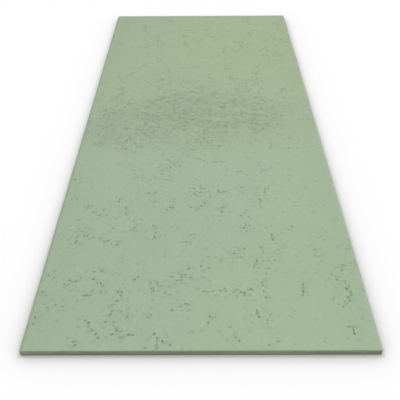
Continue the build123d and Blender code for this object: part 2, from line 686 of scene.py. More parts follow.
def pit_corners(rng, count):
    """Eight turns round each pit: four corners, pointed or blunt and unevenly spaced, each cut into two."""
    pits = settings("osb_pits")
    pointed = (np.arange(4) + rng.uniform(-pits.uneven, pits.uneven, (count, 4))) * math.pi / 2
    mirrored, half_turns = np.array([1, -1, 1, -1]), np.array([0, 1, 1, 2])
    blunt = rng.uniform(*BLUNT_ANGLES, (count, 1)) * mirrored + math.pi * half_turns
    blunt = blunt + rng.uniform(-pits.skew, pits.skew, blunt.shape)
    corner = np.where(rng.uniform(0.0, 1.0, (count, 1)) < pits.kites, pointed, blunt)
    cut = rng.uniform(*CORNER_CUTS, corner.shape)
    return np.stack([corner - cut, corner + cut], 2).reshape(count, RING)


def lay_out_pits():
    """Every pit of the coated face, at most one in a cell, shrunk and shifted to lie inside its cell."""
    pits = settings("osb_pits")
    rng = np.random.default_rng(pits.seed)
    tried = [np.concatenate(both) for both in zip(pit_rows(rng), pit_scatter(rng))]
    core = core_sizes()
    tried = pick(tried, (np.abs(tried[0]) < core - settings("osb_ground").cell * RIM_KEEP).all(1))
    cells = cell_counts()
    pitch = 2 * core / cells
    cell = np.clip(((tried[0] + core) // pitch).astype(int), 0, cells - 1)
    first = np.sort(np.unique(cell[:, 0] * cells[1] + cell[:, 1], return_index=True)[1])
    centre, heading, size, string, line, cell = pick((*tried, cell), first)
    count = len(first)
    faintest = np.where(string < len(MARK_ROWS), FAINTEST_IN_ROW, FAINTEST)
    shade = part_way(faintest, 1, rng.uniform(0.0, 1.0, count) ** DARK_POWER)
    half_length = part_way(pits.shortest, pits.longest, size) / 2
    half_width = part_way(pits.narrowest, pits.widest, size * rng.uniform(*PIT_WIDTHS, count)) / 2
    taper = rng.uniform(-pits.taper, pits.taper, count)
    turn = pit_corners(rng, count)
    cos, sin = np.cos(heading), np.sin(heading)
    reach = [np.hypot(half_length * cos, half_width * sin), np.hypot(half_length * sin, half_width * cos)]
    reach = np.stack(reach, 1)
    room = pitch / 2 - pitch * COLLAR
    shrink = np.minimum(1.0, (room / reach).min(1))
    middle = (cell + 0.5) * pitch - core
    reach = reach * shrink[:, None]
    return {
        "cell": cell,
        "centre": middle + np.clip(centre - middle, reach - room, room - reach),
        "half_length": half_length * shrink,
        "half_width": half_width * shrink,
        "heading": heading,
        "taper": taper,
        "depth": part_way(pits.shallowest, pits.deepest, size),
        "shade": shade,
        "turn": turn,
        "string": string,
        "line": line,
    }


def pit_rings(pits, stretch, widen):
    """Eight points round each pit: its corners on an ellipse that swells towards one end, at its heading."""
    angle = pits["turn"]
    along = pits["half_length"][:, None] * stretch * np.cos(angle)
    swell = 1 + pits["taper"][:, None] * np.cos(angle)
    across = pits["half_width"][:, None] * widen * np.sin(angle) * swell
    cos, sin = np.cos(pits["heading"])[:, None], np.sin(pits["heading"])[:, None]
    x = pits["centre"][:, :1] + along * cos - across * sin
    y = pits["centre"][:, 1:] + along * sin + across * cos
    return x, y


def cell_to_rim(corner, rim_x, rim_y, rim):
    """Triangles that fill the plan between each cell's four corners and its pit's eight rim points.

    Each side of the rim goes to the corner of the quarter that the side faces. Each side of the cell goes to
    the rim point that lies furthest out towards it.
    """
    ahead = np.roll(np.arange(RING), -1)
    facing = np.arctan2(rim_x - rim_x[:, ahead], rim_y[:, ahead] - rim_y) % (2 * math.pi)
    quarter = (facing // (math.pi / 2)).astype(int) % 4
    pit = np.arange(len(corner))[:, None]
    to_corner = np.stack([rim, corner[pit, quarter], rim[:, ahead]], 2).reshape(-1, 3)
    turned = np.diff(facing, axis=1, prepend=facing[:, :1]) % (2 * math.pi)
    steady = facing[:, :1] + np.cumsum(turned, axis=1)
    side = math.pi / 2 * np.arange(1, 5)
    target = side + 2 * math.pi * np.ceil((steady[:, :1] - side) / (2 * math.pi))
    furthest = (steady[:, None, :] < target[:, :, None]).sum(2) % RING
    to_side = np.stack([corner, np.roll(corner, -1, axis=1), rim[pit, furthest]], 2).reshape(-1, 3)
    return np.concatenate([to_corner, to_side])


def face_grid(radius, height):
    """The points of one flat face of the ground: the grid's lines, carried round corners of this radius."""
    lines = [grid_lines(core, cells) for core, cells in zip(core_sizes(), cell_counts())]
    (start_x, share_x), (start_y, share_y) = lines
    out_x, out_y = around_corner(share_x[:, None], share_y[None, :])
    x, y = drifted(start_x[:, None] + radius * out_x, start_y[None, :] + radius * out_y)
    return np.stack([x, y, np.full(x.shape, height)], 2)


def grid_quads(index):
    """The four corners of every cell of a grid of points, anticlockwise seen from above."""
    return np.stack([index[:-1, :-1], index[1:, :-1], index[1:, 1:], index[:-1, 1:]], 2)


def grid_rim(index):
    """The points round the outside of a grid, anticlockwise from its first corner."""
    return np.concatenate([index[:-1, 0], index[-1, :-1], index[:0:-1, -1], index[0, :0:-1]])


def open_pits(pits, corner, start, rng):
    """The pits that take the place of their cells: points, how far each is sunk in the dark, and faces.

    Each has a collar that fills its cell, a wall from its rim down to a smaller ring, and a floor that comes
    to one point in the middle. The points are numbered from start.
    """
    count = len(corner)
    rim = pit_rings(pits, 1.0, 1.0)
    wall = pit_rings(pits, *WALL_SHARES)
    middle = (pits["centre"][:, :1], pits["centre"][:, 1:])
    x, y = drifted(*(np.concatenate(rings, 1) for rings in zip(rim, wall, middle)))
    wall_down = rng.uniform(*WALL_DEPTHS, (count, RING))
    down = np.concatenate([np.zeros((count, RING)), wall_down, np.ones((count, 1))], 1)
    z = THICKNESS - settings("osb_ground").face_recess - down * pits["depth"][:, None]
    index = start + np.arange(x.size).reshape(x.shape)
    upper, lower, deepest = index[:, :RING], index[:, RING:-1], np.repeat(index[:, -1:], RING, axis=1)
    upper_ahead, lower_ahead = np.roll(upper, -1, axis=1), np.roll(lower, -1, axis=1)
    walls = np.stack([upper, upper_ahead, lower_ahead, lower], 2).reshape(-1, 4)
    floors = np.stack([lower, lower_ahead, deepest], 2).reshape(-1, 3)
    # The wall and floor of a pit take its darkness, dusty wood and painted shade together; the rim takes a
    # share of it
    dark = np.repeat(pits["shade"][:, None], RING + 1, axis=1)
    sunk = np.concatenate([np.full((count, RING), settings("osb_pits").rim_darkness), dark], 1)
    faces = [walls, floors, cell_to_rim(corner, *rim, upper)]
    return np.stack([x, y, z], 2).reshape(-1, 3), sunk.ravel(), faces


def rim_profile(ground):
    """Down the sawn edge: how far each ring lies inside the edge's plane, its height and its share of a nick.

    A quarter circle rounds each face into the edge, and even rows lie between.
    """
    arc = np.radians(ARRIS_ANGLES)
    inward, down = 1 - np.sin(arc), 1 - np.cos(arc)
    top = THICKNESS - ground.face_recess
    low = ground.face_recess
    rows = np.linspace(top - ground.coated_arris, low + ground.back_arris, ground.edge_rows + 1)[1:-1]
    flat = np.zeros(len(rows))
    inset = np.concatenate([ground.coated_arris * inward, flat, ground.back_arris * inward[::-1]])
    height = np.concatenate([top - ground.coated_arris * down, rows, low + ground.back_arris * down[::-1]])
    return inset, height, np.concatenate([COATED_NICKS, flat, BACK_NICKS])


def sawn_rings(edge_point, radius, rng):
    """Rings down the sawn edge, as an array of ring by point, and where a gap lies in them.

    Each point of the face's rim is carried out to the edge's plane, less the inset, a nick and a gap.
    """
    ground = settings("osb_ground")
    core = core_sizes()
    base = np.clip(edge_point, -core, core)
    out = edge_point - base
    out = out / np.linalg.norm(out, axis=1)[:, None]
    inset, height, nick = rim_profile(ground)
    rough = rng.uniform(0.0, 1.0, (len(inset), len(edge_point)))
    has_gap = rng.uniform(0.0, 1.0, rough.shape) < ground.edge_void_share
    gap = has_gap * rng.uniform(*VOID_DEPTHS, rough.shape)
    gap[nick > 0] = 0.0
    sunk_in = nick[:, None] * ground.nick * rough**3 + gap * ground.edge_void_depth
    reach = radius - inset[:, None] - sunk_in
    z = np.repeat(height[:, None, None], len(edge_point), axis=1)
    return np.concatenate([base + out * reach[:, :, None], z], 2), gap > 0


def build_ground(pits):
    """The closed ground of the sheet: a pitted upper face, a sawn rim and a plain back, as arrays."""
    ground = settings("osb_ground")
    rng = np.random.default_rng(ground.seed)
    radius = ground.corner_radius - ground.edge_recess
    top = face_grid(radius - ground.coated_arris, THICKNESS - ground.face_recess)
    back = face_grid(radius - ground.back_arris, ground.face_recess).reshape(-1, 3)
    index = np.arange(top.size // 3).reshape(top.shape[:2])
    top = top.reshape(-1, 3)
    quads = grid_quads(index)
    rim = grid_rim(index)

    line_x, line_y = (pits["cell"] + CORNER_STEPS).T
    corner = np.roll(quads[line_x, line_y], 2, axis=1)
    closed = np.ones(quads.shape[:2], bool)
    closed[line_x, line_y] = False
    pit_points, pit_sunk, pit_faces = open_pits(pits, corner, len(top), rng)

    rings, gap = sawn_rings(top[rim, :2], radius, rng)
    ring_index = len(top) + len(pit_points) + np.arange(gap.size).reshape(gap.shape)
    back_start = ring_index.max() + 1
    loops = np.concatenate([rim[None], ring_index, (back_start + rim)[None]])
    beside = np.roll(loops, -1, axis=1)
    rim_quads = np.stack([loops[:-1], loops[1:], beside[1:], beside[:-1]], 2)
    arris = len(ARRIS_ANGLES)

    # Faces, the slot of their finish, and whether they are shaded smooth
    blocks = [(block, COATED, False) for block in (quads[closed], *pit_faces)]
    blocks += [
        (rim_quads[:arris].reshape(-1, 4), SAWN, True),
        (rim_quads[arris:-arris].reshape(-1, 4), SAWN, False),
        (rim_quads[-arris:].reshape(-1, 4), SAWN, True),
        (back_start + quads.reshape(-1, 4)[:, ::-1], BARE, False),
    ]
    points = np.concatenate([top, pit_points, rings.reshape(-1, 3), back])
    sunk = np.concatenate([np.zeros(len(top)), pit_sunk, gap.ravel(), np.zeros(len(back))])
    slots = np.concatenate([np.full(len(block), slot) for block, slot, _ in blocks])
    smooth = np.concatenate([np.full(len(block), soft) for block, _, soft in blocks])
    return points, [block for block, _, _ in blocks], slots, smooth, sunk


def ground_map(points, faces, slots):
    """The ground's flat map: the coated face on the left, the four edges in strips, the back on the right.

    The share of the width is laid along U and the share of the length along V. An edge's strip has its height
    along U and its length along V.
    """
    place = points[np.concatenate([block.ravel() for block in faces])]
    slot = np.repeat(slots, np.concatenate([np.full(len(block), block.shape[1]) for block in faces]))
    middle = np.concatenate([np.repeat(points[block].mean(1), block.shape[1], axis=0) for block in faces])
    across, along = (place[:, :2] / (2 * HALF_PLAN) + 0.5).T
    rise = place[:, 2] / THICKNESS
    long_edge = HALF_WIDTH - np.abs(middle[:, 0]) < HALF_LENGTH - np.abs(middle[:, 1])
    side = np.where(long_edge, middle[:, 0] > 0, 2 + (middle[:, 1] > 0))
    strip_left = COATED_WIDE + EDGES_GAP + side * (EDGE_STRIP + EDGE_GAP)
    face_u = MAP_MARGIN + across * (COATED_WIDE - 2 * MAP_MARGIN)
    u = np.where(slot == COATED, face_u, strip_left + rise * (EDGE_STRIP - MAP_MARGIN / 2))
    u = np.where(slot == BARE, BACK_LEFT + across * BACK_WIDE, u)
    v = np.where((slot == SAWN) & ~long_edge, across, along)
    return np.stack([u, part_way(MAP_MARGIN, 1 - MAP_MARGIN, v)], 1)


# Strands: a low section carried along each strand's line


def clip_lines(start, way, reach, room):
    """Where each straight line lies inside a centred rectangle of half sizes room.

    A line runs through start along way, as far as reach to either side.
    """
    least = 1e-9
    safe = np.where(np.abs(way) < least, least, way)
    bounds = np.stack([(-room - start) / safe, (room - start) / safe])
    return np.maximum(bounds.min(0).max(1), -reach), np.minimum(bounds.max(0).min(1), reach)


def strand_shells(face, laid, rise, tilt, rng, room, swell, tip=0.0, wave=None):
    """Closed shells of many strands on one face: a flat section with sloping sides, carried along a line.

    face is an origin and three unit vectors: along, across and out of the face. laid is the strands' centres,
    headings, lengths and widths. swell is the share of the width at each station, tip how far the two corners
    of an end are out of line, and wave a function that shifts a station across by its place. A strand that
    the face's rim would cut ends there, as the saw leaves it.
    """
    strands = settings("osb_strands")
    centre, heading, length, width = laid
    way, side = ways(heading)
    ends = []
    for hand in (1.0, -1.0):
        line = centre + side * (hand * width / 2)[:, None]
        skew = tip * rng.uniform(-0.5, 0.5, len(centre))
        ends.append(clip_lines(line, way, length / 2 - np.abs(skew), room))
    kept = np.all([leave - enter > length * SHORTEST_KEPT for enter, leave in ends], axis=0)
    stations = len(swell)
    share = np.linspace(0.0, 1.0, stations)
    low = np.full((len(centre), stations), -strands.embed)
    high = rise[:, None] + tilt[:, None] * (share - 0.5)
    high = np.clip(high, -DEEPEST_TOP * strands.embed, None)
    rows = []
    for hand, (enter, leave) in zip((1.0, -1.0), ends):
        along = enter[:, None] + (leave - enter)[:, None] * share
        for inset, level in ((0.0, low), (1.0, high)):
            slope = np.minimum(strands.bevel, width * MOST_BEVEL)[:, None] * inset
            across = hand * (width[:, None] / 2 * np.array(swell) - slope)
            a = centre[:, :1] + way[:, :1] * along + side[:, :1] * across
            b = centre[:, 1:] + way[:, 1:] * along + side[:, 1:] * across
            if wave is not None:
                b = b + wave(a, centre[:, 1:])
            rows.append((np.clip(a, -room[0], room[0]), np.clip(b, -room[1], room[1]), level, along, across))
    around = (rows[2], rows[3], rows[1], rows[0])
    a, b, out, along, across = (np.stack(part, 2)[kept] for part in zip(*around))
    origin, axis_a, axis_b, axis_out = face
    points = origin + a[..., None] * axis_a + b[..., None] * axis_b + out[..., None] * axis_out
    total = kept.sum()
    index = np.arange(a.size).reshape(a.shape)
    ahead = np.roll(index, -1, axis=2)
    skin = np.stack([index[:, :-1], index[:, 1:], ahead[:, 1:], ahead[:, :-1]], 3).reshape(-1, 4)
    grain_u = along + rng.uniform(0.0, GRAIN_SHIFT, total)[:, None, None]
    grain_v = across + rng.uniform(0.0, GRAIN_SHIFT, total)[:, None, None]
    return {
        "points": points.reshape(-1, 3),
        "plan": np.stack([a, b], 3).reshape(-1, 2),
        "skin": skin,
        "caps": np.concatenate([index[:, 0], index[:, -1, ::-1]]),
        "grain": np.stack([grain_u, grain_v], 3).reshape(-1, 2),
        "tone": np.repeat(rng.uniform(0.0, 1.0, total), stations * len(around)),
        # A painted shade that the coat darkens by: 1 on the points of one side of each strand, 0 on the other
        "low": np.tile([0.0, 0.0, 1.0, 1.0], total * stations),
    }


def merge_shells(parts):
    """Several sets of shells as one, with the points' numbers shifted past those of the sets before."""
    shift = 0
    for part in parts:
        part["skin"] = part["skin"] + shift
        part["caps"] = part["caps"] + shift
        shift += len(part["points"])
    return {key: np.concatenate([part[key] for part in parts]) for key in parts[0]}


def strand_piece(name, shells, flat_places, finish, values=None):
    """One piece of many strands, with their tone, their grain map and any other values of their points."""
    faces = [shells["skin"], shells["caps"]]
    corners = np.concatenate([block.ravel() for block in faces])
    tone = shells["tone"]
    values = {TONE: tone, IS_STRAND: np.ones(len(tone)), STRAND_SHADE: shells["low"], **(values or {})}
    piece = make_piece(
        name,
        shells["points"],
        faces,
        flat_places[corners],
        [shared_finish(finish)],
        values,
        grain_map=shells["grain"][corners],
    )


def face_strands(count, rng, spread, astray):
    """Centres, headings, lengths and widths of strands on a face.

    Most lie within spread of the sheet's length, and the share astray lies anyhow.
    """
    strands = settings("osb_strands")
    centre = anywhere(rng, count)
    anyhow = rng.uniform(0.0, 1.0, count) < astray
    turn = np.where(anyhow, rng.uniform(-ANYHOW, ANYHOW, count), rng.normal(0.0, spread, count))
    length = strands.face_length * rng.uniform(*FACE_LENGTHS, count)
    width = strands.face_width * rng.gamma(WIDTH_EVENNESS, 1 / WIDTH_EVENNESS, count).clip(*FACE_WIDTHS)
    return centre, math.pi / 2 + turn, length, width


def pit_places(pits):
    """The middle of each pit, where the drift of the ground carries it."""
    return np.stack(drifted(pits["centre"][:, 0], pits["centre"][:, 1]), 1)


def clear_of_pits(pits, centre, heading, length, width):
    """Which strands leave the middle of every pit open, by its place in the strand's frame, in batches."""
    pit = pit_places(pits)
    margin = pits["half_width"] * settings("osb_pits").open_share
    at_a_time = 1500
    clear = []
    for first in range(0, len(centre), at_a_time):
        part = slice(first, first + at_a_time)
        away = pit[None] - centre[part, None]
        cos, sin = np.cos(heading[part])[:, None], np.sin(heading[part])[:, None]
        along = np.abs(away[..., 0] * cos + away[..., 1] * sin)
        across = np.abs(away[..., 1] * cos - away[..., 0] * sin)
        covers = (along < length[part, None] / 2 + margin) & (across < width[part, None] / 2 + margin)
        clear.append(~covers.any(1))
    return np.concatenate(clear)


def strands_beside(pits, rng):
    """A strand along each string of pits: centre, heading, length and width.

    It lies to one hand of the string's line, so far out that its side leaves open what open_share says of the
    pit that lies furthest to that hand, and it is somewhat longer than the string.
    """
    strands = settings("osb_strands")
    place = pit_places(pits)
    string, first, member = np.unique(pits["string"], return_index=True, return_inverse=True)
    member = member.ravel()
    heading = pits["line"][first]
    way, side = ways(heading)
    side = side * rng.choice([-1.0, 1.0], (len(string), 1))
    middle = np.stack([np.bincount(member, part) for part in place.T], 1) / np.bincount(member)[:, None]
    away = place - middle[member]
    furthest = np.full(len(string), -1.0)
    clear = settings("osb_pits").open_share + BESIDE_ROOM
    np.maximum.at(furthest, member, (away * side[member]).sum(1) + clear * pits["half_width"])
    reach = np.zeros(len(string))
    np.maximum.at(reach, member, np.abs((away * way[member]).sum(1)))
    width = strands.face_width * rng.uniform(*BESIDE_WIDTHS, len(string))
    length = 2 * reach + strands.face_length * rng.uniform(*BESIDE_LENGTHS, len(string))
    return middle + side * (furthest + width / 2)[:, None], heading, length, width


def marked_at(pits, place):
    """How thickly pits lie round each place, from 0 to 1: their areas on a grid, spread by a bell curve."""
    setting = settings("osb_pits")
    step = setting.map_step
    bell_steps = 6
    fully_marked = 90
    sizes = np.ceil(2 * HALF_PLAN / step).astype(int) + 1
    cell = np.rint((pit_places(pits) + HALF_PLAN) / step).astype(int)
    spread = np.zeros(sizes)
    np.add.at(spread, (cell[:, 0], cell[:, 1]), pits["half_length"] * pits["half_width"])
    away = np.arange(-bell_steps, bell_steps + 1) * step / setting.map_reach
    bell = np.exp(-(away**2) / 2)
    for axis in (0, 1):
        spread = np.apply_along_axis(np.convolve, axis, spread, bell, "same")
    level = np.clip(spread / np.percentile(spread[spread > 0], fully_marked), 0.0, 1.0)
    found = np.clip(np.rint((place + HALF_PLAN) / step).astype(int), 0, sizes - 1)
    return level[found[:, 0], found[:, 1]]


def lay_on_face(name, laid, outward, swell, finish, rng, pits=None):
    """The piece of all strands on a face, the later ones higher, and each a little tilted along its length.

    outward is 1 for the coated face, and -1 for the back, which is laid as if it were turned over.
    """
    ground = settings("osb_ground")
    recess = ground.face_recess
    count = len(laid[0])
    rise = np.sort(recess * rng.uniform(*RISES, count))
    tilt = rng.uniform(*TILTS, count) * recess
    height = THICKNESS - recess if outward > 0 else recess
    face = np.array([[0, 0, height], [outward, 0, 0], [0, 1, 0], [0, 0, outward]], float)
    room = HALF_PLAN - (ground.coated_arris + ground.edge_recess)
    shells = strand_shells(face, laid, rise, tilt, rng, room, swell, END_SKEW)
    flat_places = shells["plan"] / (2 * HALF_PLAN) * (1 - 2 * MAP_MARGIN) + 0.5
    values = {MARKED: marked_at(pits, shells["points"][:, :2])} if pits else {}
    strand_piece(name, shells, flat_places, finish, values)


def sawn_edge(number, out_x, out_y):
    """The sawn strands of one edge that faces out_x, out_y: the shells, and their strip of the flat map.

    Rows lie one over another through the thickness. Strands are long where the saw ran along them, and short
    where it cut across them, which changes about in the core. Each row starts at a place of its own.
    """
    strands = settings("osb_strands")
    ground = settings("osb_ground")
    rng = np.random.default_rng(strands.seed + 2 + number)
    at_end = out_x == 0
    half = core_sizes()[0 if at_end else 1]
    low = ground.back_arris + ground.face_recess
    high = THICKNESS - ground.coated_arris - ground.face_recess
    rows = int((high - low) / strands.edge_pitch)
    row_height = low + (np.arange(rows) + 0.5) * (high - low) / rows
    in_core = np.abs(row_height - THICKNESS / 2) < THICKNESS * strands.core_share / 2
    mean = np.where(in_core != at_end, strands.edge_short, strands.edge_long)
    most = int(2 * half / (strands.edge_short * SAWN_LENGTHS[0])) + 2
    length = mean[:, None] * rng.uniform(*SAWN_LENGTHS, (rows, most))
    end = np.cumsum(length, axis=1) - rng.uniform(0.0, 1.0, (rows, 1)) * mean[:, None] - half
    middle = end - length / 2
    inside = np.abs(middle) < half
    row = np.repeat(np.arange(rows)[:, None], most, axis=1)[inside]
    count = len(row)
    centre = np.stack([middle[inside], row_height[row] - THICKNESS / 2], 1)
    length = length[inside] * rng.uniform(*SAWN_FILL, count)
    width = strands.edge_pitch * rng.uniform(*SAWN_WIDTHS, count)
    rise = ground.edge_recess * rng.uniform(*SAWN_RISES, count)
    rise = rise * ground.edge_recess / rise.max()
    heading = rng.normal(0.0, SAWN_TURN, count)
    out = HALF_PLAN - ground.edge_recess
    origin = [out_x * out[0], out_y * out[1], THICKNESS / 2]
    face = np.array([origin, [-out_y, out_x, 0], [0, 0, 1], [out_x, out_y, 0]], float)

    def wander(a, b):
        """Layers rise and fall together in long waves, a little out of step from row to row."""
        return strands.wave * sum(
            strong * np.sin(a * 2 * math.pi / long + turn * number + b * step)
            for long, turn, step, strong in LAYER_WAVES
        )

    room = np.array([half, (high - low) / 2])
    laid = (centre, heading, length, width)
    shells = strand_shells(face, laid, rise, np.zeros(count), rng, room, SAWN_SWELL, wave=wander)
    place = shells["plan"] / np.array([2 * half, high - low]) + 0.5
    strip = (part_way(SAWN_MARGIN, 1 - SAWN_MARGIN, place[:, 1]) + number) / len(OUTWARDS)
    return shells, np.stack([place[:, 0], strip], 1)


# Shader nodes: each helper adds a node to the tree of the sockets that it is given, and gives its output


def add_node(tree, kind, inputs=None, **facts):
    """A node with its properties set, and its inputs filled with values or linked from sockets."""
    made = tree.nodes.new(kind)
    for name, value in facts.items():
        setattr(made, name, value)
    for name, value in (inputs or {}).items():
        if isinstance(value, bpy.types.NodeSocket):
            tree.links.new(value, made.inputs[name])
        else:
            made.inputs[name].default_value = value
    return made


def tree_of(*values):
    """The tree of the first socket among some values."""
    return next(value.id_data for value in values if isinstance(value, bpy.types.NodeSocket))


def find_node(tree, kind):
    """The one node of that kind that the tree was made with."""
    return next(found for found in tree.nodes if found.type == kind)


def calc(operation, *values):
    """A sum, product or other operation on up to three values."""
    inputs = dict(enumerate(values))
    return add_node(tree_of(*values), "ShaderNodeMath", inputs, operation=operation).outputs[0]


def times(first, second):
    """A product."""
    return calc("MULTIPLY", first, second)


def less(first, second):
    """A difference."""
    return calc("SUBTRACT", first, second)


def with_shares(start, *terms):
    """A value with a share of other values added: each term is a value and its share."""
    for value, share in terms:
        start = calc("MULTIPLY_ADD", value, share, start)
    return start


def vector_calc(operation, first, second):
    """An operation on two vectors."""
    inputs = {0: first, 1: second}
    return add_node(first.id_data, "ShaderNodeVectorMath", inputs, operation=operation).outputs[0]


def joined(x, y, z):
    """A vector or a colour of three values."""
    return add_node(tree_of(x, y, z), "ShaderNodeCombineXYZ", {0: x, 1: y, 2: z}).outputs[0]


def axes_of(vector):
    """The three values of a vector."""
    return tuple(add_node(vector.id_data, "ShaderNodeSeparateXYZ", {0: vector}).outputs)


def between(value, low, high, to_low=0.0, to_high=1.0):
    """Carries a value's range onto another, held at both ends."""
    inputs = {"Value": value, "From Min": low, "From Max": high, "To Min": to_low, "To Max": to_high}
    return add_node(value.id_data, "ShaderNodeMapRange", inputs).outputs[0]


def choose(factor, first, second):
    """One value mixed into another."""
    return add_node(factor.id_data, "ShaderNodeMix", {0: factor, 2: first, 3: second}).outputs[0]


def blend(factor, first, second, mode="MIX"):
    """One colour blended into another."""
    inputs = {0: factor, 6: first, 7: second}
    tree = tree_of(factor, first)
    return add_node(tree, "ShaderNodeMix", inputs, data_type="RGBA", blend_type=mode).outputs[2]


def rgba(colour):
    """A linear colour with full alpha."""
    return (*colour, 1.0)


def noise(vector, scale, detail=2.0, roughness=0.5, distortion=0.0):
    """Value noise at a scale in repeats a metre."""
    inputs = {
        "Vector": vector,
        "Scale": scale,
        "Detail": detail,
        "Roughness": roughness,
        "Distortion": distortion,
    }
    return add_node(vector.id_data, "ShaderNodeTexNoise", inputs).outputs["Fac"]


def stretched(vector, scale, turn=0.0, shift=0.0):
    """Coordinates scaled along each axis, turned about Z, and shifted alike along X and Y."""
    inputs = {"Vector": vector, "Location": (shift, shift, 0.0), "Rotation": (0.0, 0.0, turn), "Scale": scale}
    return add_node(vector.id_data, "ShaderNodeMapping", inputs).outputs[0]


def flat_cells(vector, scale=1.0):
    """Voronoi cells of the plan: the place of each cell's point, and three chance values of its own."""
    inputs = {"Vector": vector, "Scale": scale, "Randomness": 1.0}
    cells = add_node(vector.id_data, "ShaderNodeTexVoronoi", inputs, voronoi_dimensions="2D").outputs
    chance = add_node(vector.id_data, "ShaderNodeSeparateColor", {0: cells["Color"]}).outputs
    return cells["Position"], tuple(chance)


def attribute(tree, name):
    """A value that the mesh holds at each of its points."""
    return add_node(tree, "ShaderNodeAttribute", attribute_name=name).outputs["Fac"]


def object_place(tree):
    """The place on the piece."""
    return add_node(tree, "ShaderNodeTexCoord").outputs["Object"]


def seen_rays(tree):
    """A mask of 1 for the camera, and for what mirrors and glass show it."""
    rays = add_node(tree, "ShaderNodeLightPath").outputs
    seen = calc("MAXIMUM", rays["Is Camera Ray"], rays["Is Glossy Ray"])
    return calc("MAXIMUM", seen, rays["Is Transmission Ray"])


# Effects that more than one finish uses


def new_group(name, outputs, **defaults):
    """An empty shader node group that takes a vector and named values, and puts out named values."""
    tree = bpy.data.node_groups.new(name, "ShaderNodeTree")
    tree.interface.new_socket("Vector", in_out="INPUT", socket_type="NodeSocketVector")
    for title, default in defaults.items():
        socket = tree.interface.new_socket(title, in_out="INPUT", socket_type="NodeSocketFloat")
        socket.default_value = default
    for title in outputs:
        tree.interface.new_socket(title, in_out="OUTPUT", socket_type="NodeSocketFloat")
    return tree, tree.nodes.new("NodeGroupInput").outputs, tree.nodes.new("NodeGroupOutput").inputs


def cloud_group(name):
    """Slow drifts of tone: a broad noise and half a finer one, as a value about 0."""
    tree, given, found = new_group(name, ["Value"], Broad=1.5, Fine=9.0)
    broad = less(noise(given["Vector"], given["Broad"], detail=3.0), 0.5)
    fine = less(noise(given["Vector"], given["Fine"], detail=4.0, roughness=0.6), 0.5)
    tree.links.new(with_shares(broad, (fine, 0.5)), found["Value"])
    return tree


def strand_group(name):
    """Pressed strands too low to be shells: long cells laid three ways, each with its own chance value.

    Three Voronoi patterns are turned and stretched. Each gives every cell one value, and the highest shows.
    """
    tree, given, found = new_group(name, ["Tone", "Height"], Length=9.0, Width=48.0)
    scale = joined(given["Width"], given["Length"], 0.0)
    tone, height = None, None
    for turn, shift in LOW_LAYERS:
        turned = stretched(given["Vector"], PLAN_ONLY, turn, shift)
        level, shade, _ = flat_cells(vector_calc("MULTIPLY", turned, scale))[1]
        if height is None:
            tone, height = shade, level
        else:
            tone = choose(calc("GREATER_THAN", level, height), tone, shade)
            height = calc("MAXIMUM", level, height)
    tree.links.new(tone, found["Tone"])
    tree.links.new(height, found["Height"])
    return tree


def fibre_group(name):
    """Wood fibre: noise drawn out along X, in a coarse and a fine size, as a value from 0 to 1."""
    tree, given, found = new_group(name, ["Value"], Stretch=22.0)
    drawn = joined(1.0, given["Stretch"], given["Stretch"])
    place = vector_calc("MULTIPLY", given["Vector"], drawn)
    coarse = noise(place, 26.0, detail=3.0, roughness=0.6, distortion=0.3)
    fine = noise(place, 90.0, roughness=0.6)
    tree.links.new(with_shares(times(coarse, 0.65), (fine, 0.35)), found["Value"])
    return tree


def sliver_group(name):
    """Narrow slivers that the coat hardly filled: one in a Voronoi cell, with its own heading and length.

    A place is measured from its cell's point, turned by the cell's chance, and divided by the sliver's half
    sizes. Inside 1 it is in the sliver. Often is the share of the cells that have one, and Spread is how far
    they turn from the sheet's width, where 1 is any way. The last layer has broad faint spots.
    """
    tree, given, found = new_group(name, ["Mask"], Often=0.1, Spread=1.0)
    mask = None
    for scale, shift, half_length, half_width, strength, oftener in SLIVER_LAYERS:
        moved = stretched(given["Vector"], PLAN_ONLY, shift=shift)
        point, (any_turn, any_time, any_size) = flat_cells(moved, scale)
        angle = times(times(less(any_turn, 0.5), math.pi), given["Spread"])
        inputs = {"Vector": vector_calc("SUBTRACT", moved, point), "Angle": angle}
        turned = add_node(tree, "ShaderNodeVectorRotate", inputs, rotation_type="Z_AXIS").outputs[0]
        x, y, _ = axes_of(turned)
        reach = with_shares(SHORTEST_SLIVER * half_length, (any_size, (1 - SHORTEST_SLIVER) * half_length))
        along = calc("DIVIDE", x, reach)
        across = calc("DIVIDE", y, half_width)
        apart = with_shares(times(across, across), (along, along))
        has_one = calc("LESS_THAN", any_time, times(given["Often"], oftener))
        shown = times(between(apart, 1.0, 0.0, 0.0, strength), has_one)
        mask = shown if mask is None else calc("MAXIMUM", mask, shown)
    tree.links.new(mask, found["Mask"])
    return tree


GROUPS = {
    "Cloud": cloud_group,
    "Pressed strands": strand_group,
    "Fibre": fibre_group,
    "Slivers": sliver_group,
}


def use_group(tree, name, **inputs):
    """A node group placed in a material with its own values, and built the first time it is asked for."""
    group = bpy.data.node_groups.get(name) or GROUPS[name](name)
    return add_node(tree, "ShaderNodeGroup", inputs, node_tree=group).outputs


# Finishes


def new_material(name):
    """A material with a matt Principled shader, its tree and its shader."""
    material = bpy.data.materials.new(name)
    material.use_nodes = True
    return material, material.node_tree, find_node(material.node_tree, "BSDF_PRINCIPLED")


def finish_shader(tree, shader, colour, roughness, height, distance):
    """Links a colour, a roughness and a relief in metres to the shader."""
    tree.links.new(colour, shader.inputs["Base Color"])
    tree.links.new(roughness, shader.inputs["Roughness"])
    bump = add_node(tree, "ShaderNodeBump", {"Height": height, "Distance": distance, "Strength": 1.0})
    tree.links.new(bump.outputs[0], shader.inputs["Normal"])


